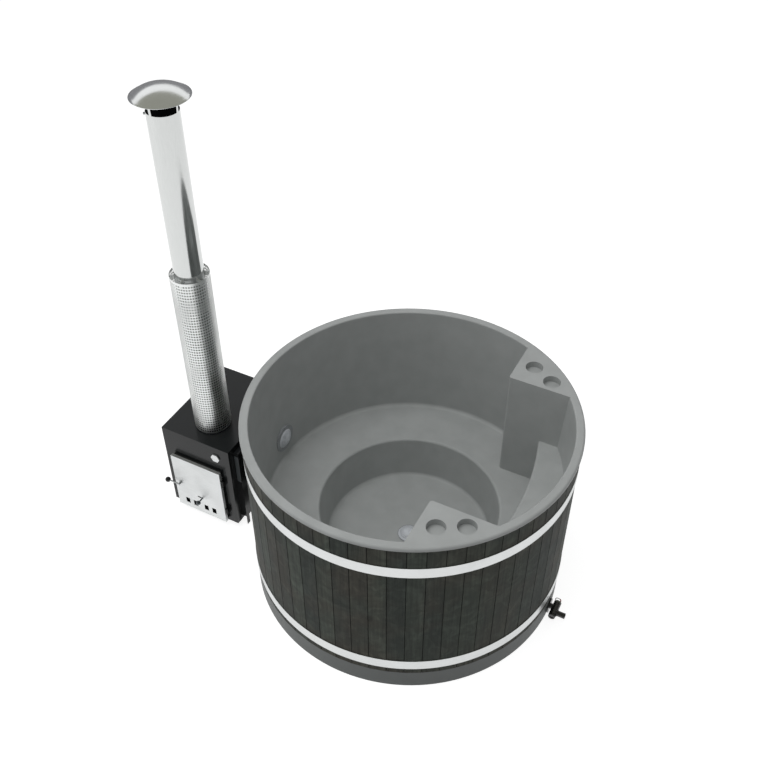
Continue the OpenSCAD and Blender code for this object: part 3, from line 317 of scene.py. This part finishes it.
def makeGuard():
    low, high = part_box("heat_guard")
    middle = (low + high) / 2
    height = high.z - low.z
    radius = (high.x - low.x) / 2
    columns, rows = guard["columns"], guard["rows"]
    edge, hole = guard["edge"] / 1000, guard["hole"] / 1000
    pitch = (height - 2 * edge) / rows
    width = 2 * radius * math.sin(math.pi / columns)

    def inRows(face):
        return edge < face.center.z < height - edge and (face.center.z - edge) % pitch < width

    def isHole(face):
        return len(face.vertices) == 8 and inRows(face) and face.area < (2 * hole) ** 2

    clearPick()
    bpy.ops.mesh.primitive_circle_add(vertices=columns, radius=radius, location=(middle.x, middle.y, low.z))
    piece = bpy.context.object
    bpy.ops.object.mode_set(mode="EDIT")
    for step in [edge] + [width, pitch - width] * rows + [edge]:
        bpy.ops.mesh.extrude_region_move(TRANSFORM_OT_translate={"value": (0, 0, step)})
    bpy.ops.mesh.select_mode(type="FACE")  # set first, or the bands between two rows are picked by their edges
    bpy.ops.mesh.select_all(action="DESELECT")
    bpy.ops.object.mode_set(mode="OBJECT")
    pickFaces(piece, inRows)
    bpy.ops.object.mode_set(mode="EDIT")
    bpy.ops.mesh.inset(thickness=width / 2 - hole, use_individual=True)
    bpy.ops.mesh.bevel(offset=hole * guard["corner"], segments=1, affect="VERTICES")
    bpy.ops.object.mode_set(mode="OBJECT")
    pickFaces(piece, isHole)
    bpy.ops.object.mode_set(mode="EDIT")
    bpy.ops.mesh.delete(type="FACE")
    bpy.ops.object.mode_set(mode="OBJECT")
    giveWall(piece, guard["sheet"], 1)
    return finishPiece(piece, "heatGuardSheet", "tub", "flue_steel", ["heat_guard"], look="guard_sheet")


guardSheet = makeGuard()
print("guard made:", len(guardSheet.data.polygons), "faces")

# pressed dome of the rain cap, with its edge rolled over a wire; seat is where the dome starts, in beads
cap = {"sides": 96, "steps": 16, "bead": 1.9, "rollTo": 30, "rollFrom": -150, "rollStep": 30,
       "seat": 1.6, "tip": 1.0, "sheet": 1.2, "smooth": 50}


def makeCap():
    low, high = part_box("rain_cap")
    middle = (low + high) / 2
    radius, rise = (high.x - low.x) / 2, high.z - low.z
    ball = (radius ** 2 + rise ** 2) / (2 * rise)
    bead = cap["bead"] / 1000
    rings = []
    for a in range(cap["rollFrom"], cap["rollTo"] + 1, cap["rollStep"]):
        turn = math.radians(a)
        rings.append((radius - bead + bead * math.cos(turn), bead + bead * math.sin(turn)))
    for i in range(1, cap["steps"] + 1):
        r = (radius - cap["seat"] * bead) * (1 - i / cap["steps"]) + cap["tip"] / 1000
        rings.append((r, math.sqrt(ball ** 2 - r ** 2) - ball + rise))
    piece = turnRings(rings, cap["sides"], (middle.x, middle.y, low.z))
    bpy.ops.object.mode_set(mode="EDIT")
    bpy.ops.mesh.merge(type="CENTER")
    bpy.ops.object.mode_set(mode="OBJECT")
    faceOutwards(piece)
    giveWall(piece, cap["sheet"], -1)
    return finishPiece(piece, "rainCapDome", "tub", "cap_steel", ["rain_cap"], smooth=cap["smooth"])


makeCap()
print("cap made")


def punchFaces(piece, chosen, keep, corner):
    # opens a rounded hole in each chosen face
    bpy.context.view_layer.objects.active = piece
    pickFaces(piece, chosen)
    bpy.ops.object.mode_set(mode="EDIT")
    bpy.ops.mesh.select_mode(type="FACE")
    bpy.ops.mesh.inset(thickness=keep / 1000, use_individual=True)
    bpy.ops.mesh.bevel(offset=corner / 1000, segments=1, affect="VERTICES")
    bpy.ops.object.mode_set(mode="OBJECT")
    pickFaces(piece, lambda face: len(face.vertices) == 8 and chosen(face))
    bpy.ops.object.mode_set(mode="EDIT")
    bpy.ops.mesh.delete(type="FACE")
    bpy.ops.object.mode_set(mode="OBJECT")


# moulded strainer dome: rings of slots round a plain middle with one screw
# radii in millimetres for a dome of the first radius, and scaled to the node's own
strainer = {"sides": 48, "rings": (53, 51, 45, 38.5, 31.5, 24.5, 17, 10, 4), "slotted": (15, 46), "wall": 2.6,
            "keep": 1.4, "corner": 0.9, "smooth": 40,
            "screwSides": 24, "screw": ((4.2, -2.0), (4.2, 1.0), (3.36, 1.8), (0.4, 2.0))}


def makeStrainer(name, node, tilt):
    low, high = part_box(node)
    middle = (low + high) / 2
    size = high - low
    radius, rise = size.y / 2, min(size)
    ball = (radius ** 2 + rise ** 2) / (2 * rise)
    drawn = strainer["rings"][0]
    rings = []
    for r in strainer["rings"]:
        r = r / drawn * radius
        rings.append((r, math.sqrt(ball ** 2 - r ** 2) - ball + rise))
    piece = turnRings(rings, strainer["sides"], (0, 0, 0))
    bpy.ops.object.mode_set(mode="EDIT")
    bpy.ops.mesh.merge(type="CENTER")
    bpy.ops.object.mode_set(mode="OBJECT")
    inner, outer = [r / drawn * radius for r in strainer["slotted"]]
    punchFaces(piece, lambda face: inner < math.hypot(face.center.x, face.center.y) < outer,
               strainer["keep"], strainer["corner"])
    faceOutwards(piece)
    giveWall(piece, strainer["wall"], -1)
    screw = turnRings([(r / 1000, z / 1000) for r, z in strainer["screw"]], strainer["screwSides"], (0, 0, rise))
    clearPick()
    screw.select_set(True)
    piece.select_set(True)
    bpy.context.view_layer.objects.active = piece
    bpy.ops.object.join()
    piece.rotation_euler = (0, math.radians(tilt), 0)
    piece.location = (low.x, middle.y, middle.z) if tilt else (middle.x, middle.y, low.z)
    return finishPiece(piece, name, "tub", "strainer", [node], smooth=strainer["smooth"])


makeStrainer("wallStrainer", "return_strainer", 90)
makeStrainer("floorStrainer", "drain_strainer", 0)
print("strainers made")

# turning knob of the drain valve with a ribbed grip
valveKnob = {"ribs": 16, "sidesPerRib": 4, "rib": 1.0, "soft": 0.5, "softSteps": 2}


def makeKnob():
    low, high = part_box("valve_knob")
    middle = (low + high) / 2
    radius = (high.x - low.x) / 2
    ribs, rib = valveKnob["ribs"], valveKnob["rib"] / 1000
    clearPick()
    bpy.ops.mesh.primitive_cylinder_add(vertices=ribs * valveKnob["sidesPerRib"], radius=radius - rib,
                                        depth=high.y - low.y, location=middle, rotation=(math.radians(90), 0, 0))
    piece = bpy.context.object
    bpy.ops.object.transform_apply(location=True, rotation=True, scale=True)

    def onRib(face):
        around = math.degrees(math.atan2(face.center.z - middle.z, face.center.x - middle.x)) % 360
        step = 360 / ribs
        return len(face.vertices) == 4 and (around % step) < step / 2

    pickFaces(piece, onRib)
    bpy.ops.object.mode_set(mode="EDIT")
    bpy.ops.mesh.select_mode(type="FACE")
    bpy.ops.mesh.extrude_region_shrink_fatten(TRANSFORM_OT_shrink_fatten={"value": rib})
    bpy.ops.object.mode_set(mode="OBJECT")
    soft = piece.modifiers.new("soft", "BEVEL")
    soft.width = valveKnob["soft"] / 1000
    soft.segments = valveKnob["softSteps"]
    soft.limit_method = "ANGLE"
    bpy.ops.object.modifier_apply(modifier="soft")
    return finishPiece(piece, "valveGrip", "valve_core", "valve_core", ["valve_knob"])


makeKnob()
print("valve grip made")

# studio: camera, lamps, pale floor and what the steel mirrors

view = {"place": (1.3887, -2.9511, 4.1533), "turn": (47.97, 0.0, 27.45), "lens": 45.53, "sensor": 36, "reach": 200}
cameraData = bpy.data.cameras.new("photoCamera")
camera = bpy.data.objects.new("photoCamera", cameraData)
bpy.context.scene.collection.objects.link(camera)
camera.location = view["place"]
camera.rotation_euler = [math.radians(a) for a in view["turn"]]
cameraData.lens = view["lens"]
cameraData.sensor_width = view["sensor"]
cameraData.clip_end = view["reach"]
bpy.context.scene.camera = camera

lamps = {
    "topLamp": {"place": (-1.2, -1.0, 6.5), "aim": (-0.2, 0, 0.5), "size": 4.0, "power": 165, "mirrored": False},
    "leftLamp": {"place": (-6.0, -4.0, 3.5), "aim": (-0.3, 0, 0.5), "size": 3.5, "power": 52, "mirrored": True},
}
for name, lamp in lamps.items():
    data = bpy.data.lights.new(name, "AREA")
    data.energy = lamp["power"]
    data.size = lamp["size"]
    light = bpy.data.objects.new(name, data)
    light.location = lamp["place"]
    light.visible_glossy = lamp["mirrored"]
    light.rotation_euler = (Vector(lamp["aim"]) - Vector(lamp["place"])).to_track_quat("-Z", "Y").to_euler()
    bpy.context.scene.collection.objects.link(light)

studio = {"ambient": 0.33, "floorSize": 60.0, "floorDrop": 0.001, "floorColour": 0.45, "floorGlow": 0.87,
          "ceilingSize": (300.0, 200.0), "ceilingHeight": 60.0, "ceilingReach": 43.0, "ceilingTurn": 12.0,
          "ceilingColour": (0.31, 0.31, 0.27),
          "wallRadius": 9.0, "wallHeight": 6.2, "wallSides": 96, "wallColour": (0.24, 0.24, 0.25)}


def seenDirectly(tree):
    # camera, mirror and glass rays see the white studio, light bounces see a plain grey one
    path = addNode(tree, "LightPath").outputs
    mirror = mathNode(tree, "MAXIMUM", path["Is Camera Ray"], path["Is Glossy Ray"])
    return mathNode(tree, "MAXIMUM", mirror, path["Is Transmission Ray"])


world = bpy.data.worlds.new("studioWorld")
bpy.context.scene.world = world
worldTree = emptyTree(world)
strength = remap(worldTree, seenDirectly(worldTree), (0.0, 1.0), (studio["ambient"], 1.0))
sky = addNode(worldTree, "Background", {"Color": (1, 1, 1, 1)}, {"Strength": strength})
addNode(worldTree, "OutputWorld", links={"Surface": sky.outputs[0]})

floorMaterial = bpy.data.materials.new("paleFloor")
floorTree = emptyTree(floorMaterial)
matt = addNode(floorTree, "BsdfDiffuse", {"Color": (*[studio["floorColour"]] * 3, 1)})
glow = remap(floorTree, seenDirectly(floorTree), (0.0, 1.0), (0.0, studio["floorGlow"]))
shine = addNode(floorTree, "Emission", {"Color": (1, 1, 1, 1)}, {"Strength": glow})
both = addNode(floorTree, "AddShader", links={0: matt.outputs[0], 1: shine.outputs[0]})
addNode(floorTree, "OutputMaterial", links={"Surface": both.outputs[0]})
clearPick()
bpy.ops.mesh.primitive_plane_add(size=studio["floorSize"], location=(0, 0, -studio["floorDrop"]))
floor = bpy.context.object
floor.name = "studioFloor"
floor.data.materials.append(floorMaterial)

# grey ceiling and low wall that only mirrors see


def mirrorCard(card, name, colour):
    card.name = name
    material = bpy.data.materials.new(name)
    tree = emptyTree(material)
    shine = addNode(tree, "Emission", {"Color": (*colour, 1)})
    addNode(tree, "OutputMaterial", links={"Surface": shine.outputs[0]})
    card.data.materials.append(material)
    card.visible_camera = False
    card.visible_diffuse = False
    card.visible_shadow = False


clearPick()
facing = math.radians(view["turn"][2] + studio["ceilingTurn"])
back = studio["ceilingSize"][1] / 2 - studio["ceilingReach"]
bpy.ops.mesh.primitive_plane_add(size=1, rotation=(0, 0, facing),
                                 location=(back * math.sin(facing), -back * math.cos(facing), studio["ceilingHeight"]))
bpy.context.object.scale = (*studio["ceilingSize"], 1)
mirrorCard(bpy.context.object, "studioCeiling", studio["ceilingColour"])
bpy.ops.mesh.primitive_cylinder_add(vertices=studio["wallSides"], radius=studio["wallRadius"],
                                    depth=studio["wallHeight"], end_fill_type="NOTHING",
                                    location=(0, 0, studio["wallHeight"] / 2))
mirrorCard(bpy.context.object, "studioWall", studio["wallColour"])

bpy.context.scene.view_settings.view_transform = "Standard"
print("studio done")
